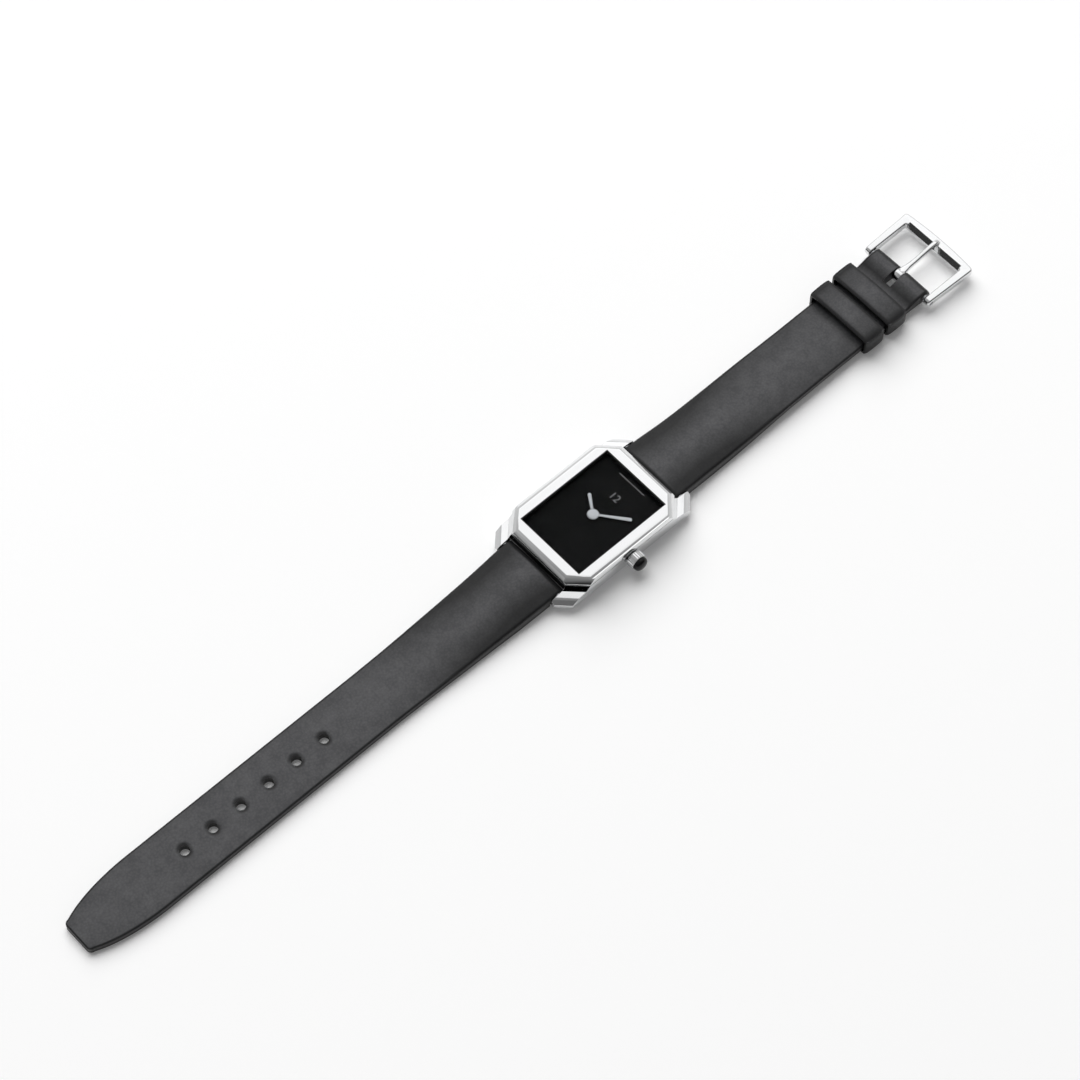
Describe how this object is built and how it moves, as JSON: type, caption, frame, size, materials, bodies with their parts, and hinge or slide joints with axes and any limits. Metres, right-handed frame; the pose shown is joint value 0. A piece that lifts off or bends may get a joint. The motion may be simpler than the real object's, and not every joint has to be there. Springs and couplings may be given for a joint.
{
  "type": "rectangular wristwatch",
  "caption": "Rectangular quartz wristwatch: faceted steel case, black dial, baton hands, cabochon crown, padded black leather strap with keepers and pin buckle, laid open.",
  "frame": {"origin": "centre of the case back's outer face, which is the plane that the watch lies on", "axes": "+Y towards 12 o'clock and the buckle, +X towards 3 o'clock and the crown, +Z out of the crystal"},
  "size_m": [0.0247, 0.218, 0.006],
  "materials": {
    "polished_steel": "polished",
    "brushed_steel": "fine brushed",
    "crystal_glass": "clear",
    "black_dial": "gloss lacquer",
    "black_stone": "polished",
    "black_rubber": "matte",
    "black_leather": "smooth satin",
    "lining_leather": "matte",
    "strap_filler": "felt",
    "brass": "satin",
    "movement_steel": "satin",
    "dark_plastic": "matte",
    "green_board": "satin",
    "copper_wire": "satin",
    "cell_steel": "satin",
    "magnet": "matte"
  },
  "bodies": {
    "watch_head": {"case_body": "polished_steel", "crown_tube": "brushed_steel", "bezel": "polished_steel", "crystal_gasket": "black_rubber", "crystal": "crystal_glass", "dial": "black_dial", "case_back": "brushed_steel", "case_back_gasket": "black_rubber", "case_back_screws": "brushed_steel", "movement_holder": "dark_plastic", "main_plate": "brass", "train_bridge": "brass", "train_bridge_screws": "movement_steel", "battery": "cell_steel", "battery_clamp": "brass", "battery_clamp_screw": "movement_steel", "circuit_board": "green_board", "circuit_chip": "dark_plastic", "quartz_resonator": "movement_steel", "stator": "movement_steel", "coil_core": "movement_steel", "coil_winding": "copper_wire", "coil_screws": "movement_steel", "dial_washer": "brass", "setting_lever_screw": "movement_steel", "yoke_screw": "movement_steel", "spring_bar_tubes": "brushed_steel", "spring_bar_tips": "brushed_steel", "spring_bar_springs": "movement_steel"},
    "centre_arbor": {"centre_wheel": "brass", "cannon_pinion": "movement_steel", "minute_hand": "polished_steel"},
    "third_arbor": {"third_wheel": "brass"},
    "intermediate_arbor": {"intermediate_wheel": "brass"},
    "rotor": {"rotor_magnet": "magnet", "rotor_pinion": "movement_steel"},
    "motion_minute_wheel": {"minute_wheel": "brass"},
    "hour_assembly": {"hour_wheel": "brass", "hour_hand": "polished_steel"},
    "crown_seal": {"crown_gasket": "black_rubber"},
    "crown_and_stem": {"crown": "polished_steel", "crown_cabochon": "black_stone", "stem": "movement_steel"},
    "clutch": {"sliding_pinion": "movement_steel"},
    "setting_lever_arm": {"setting_lever": "movement_steel"},
    "yoke_arm": {"yoke": "movement_steel"},
    "strap_12": {"strap_12_upper": "black_leather", "strap_12_padding": "strap_filler", "strap_12_lining": "lining_leather", "fixed_keeper": "black_leather"},
    "strap_6": {"strap_6_upper": "black_leather", "strap_6_padding": "strap_filler", "strap_6_lining": "lining_leather"},
    "keeper_loop": {"free_keeper": "black_leather"},
    "buckle": {"buckle_frame": "polished_steel", "buckle_bar_tube": "brushed_steel", "buckle_bar_tips": "brushed_steel", "buckle_bar_spring": "movement_steel"},
    "tongue": {"buckle_tongue": "polished_steel"}
  },
  "joints": [
    {"name": "centre_turn", "type": "hinge", "parent": "watch_head", "child": "centre_arbor", "pos_m": [0, 0, 0], "axis": [0, 0, 1], "continuous": true},
    {"name": "third_turn", "type": "hinge", "parent": "watch_head", "child": "third_arbor", "pos_m": [-0.00255, 0.00147, 0], "axis": [0, 0, 1], "continuous": true},
    {"name": "intermediate_turn", "type": "hinge", "parent": "watch_head", "child": "intermediate_arbor", "pos_m": [-0.00135, 0.00355, 0], "axis": [0, 0, 1], "continuous": true},
    {"name": "rotor_turn", "type": "hinge", "parent": "watch_head", "child": "rotor", "pos_m": [-0.00035, 0.00528, 0], "axis": [0, 0, 1], "continuous": true},
    {"name": "minute_wheel_turn", "type": "hinge", "parent": "watch_head", "child": "motion_minute_wheel", "pos_m": [0.0024, 0, 0], "axis": [0, 0, 1], "continuous": true},
    {"name": "hour_turn", "type": "hinge", "parent": "watch_head", "child": "hour_assembly", "pos_m": [0, 0, 0], "axis": [0, 0, 1], "continuous": true},
    {"name": "crown_pull", "type": "slide", "parent": "watch_head", "child": "crown_seal", "axis": [1, 0, 0], "range_m": [0, 0.0007]},
    {"name": "crown_turn", "type": "hinge", "parent": "crown_seal", "child": "crown_and_stem", "pos_m": [0, 0, 0.003], "axis": [1, 0, 0], "continuous": true},
    {"name": "clutch_slide", "type": "slide", "parent": "crown_and_stem", "child": "clutch", "axis": [1, 0, 0], "range_m": [-0.000941, 0]},
    {"name": "setting_lever_swing", "type": "hinge", "parent": "watch_head", "child": "setting_lever_arm", "pos_m": [0.0063, 0.0019, 0], "axis": [0, 0, 1], "range_deg": [0, 20.92]},
    {"name": "yoke_swing", "type": "hinge", "parent": "watch_head", "child": "yoke_arm", "pos_m": [0.00488, -0.0022, 0], "axis": [0, 0, 1], "range_deg": [0, 6.29]},
    {"name": "strap_12_hinge", "type": "hinge", "parent": "watch_head", "child": "strap_12", "pos_m": [0, 0.0156, 0.0022], "axis": [1, 0, 0], "range_deg": [-85, 60]},
    {"name": "strap_6_hinge", "type": "hinge", "parent": "watch_head", "child": "strap_6", "pos_m": [0, -0.0156, 0.0022], "axis": [-1, 0, 0], "range_deg": [-85, 60]},
    {"name": "keeper_slide", "type": "slide", "parent": "strap_12", "child": "keeper_loop", "axis": [0, 1, 0], "range_m": [-0.019, 0.0008]},
    {"name": "buckle_hinge", "type": "hinge", "parent": "strap_12", "child": "buckle", "pos_m": [0, 0.0818, 0.0022], "axis": [1, 0, 0], "range_deg": [-75, 45]},
    {"name": "tongue_hinge", "type": "hinge", "parent": "buckle", "child": "tongue", "pos_m": [0, 0.0818, 0.0022], "axis": [1, 0, 0], "range_deg": [0, 80]}
  ],
  "couplings": [
    {"joint": "third_turn", "follows": "centre_turn", "ratio": -2.5},
    {"joint": "intermediate_turn", "follows": "centre_turn", "ratio": 7.5},
    {"joint": "rotor_turn", "follows": "centre_turn", "ratio": -30},
    {"joint": "minute_wheel_turn", "follows": "centre_turn", "ratio": -0.33333},
    {"joint": "hour_turn", "follows": "centre_turn", "ratio": 0.083333},
    {"joint": "clutch_slide", "follows": "crown_pull", "ratio": -1.3429},
    {"joint": "setting_lever_swing", "follows": "crown_pull", "rad_per_m": 520.48},
    {"joint": "yoke_swing", "follows": "crown_pull", "rad_per_m": 155.69}
  ]
}
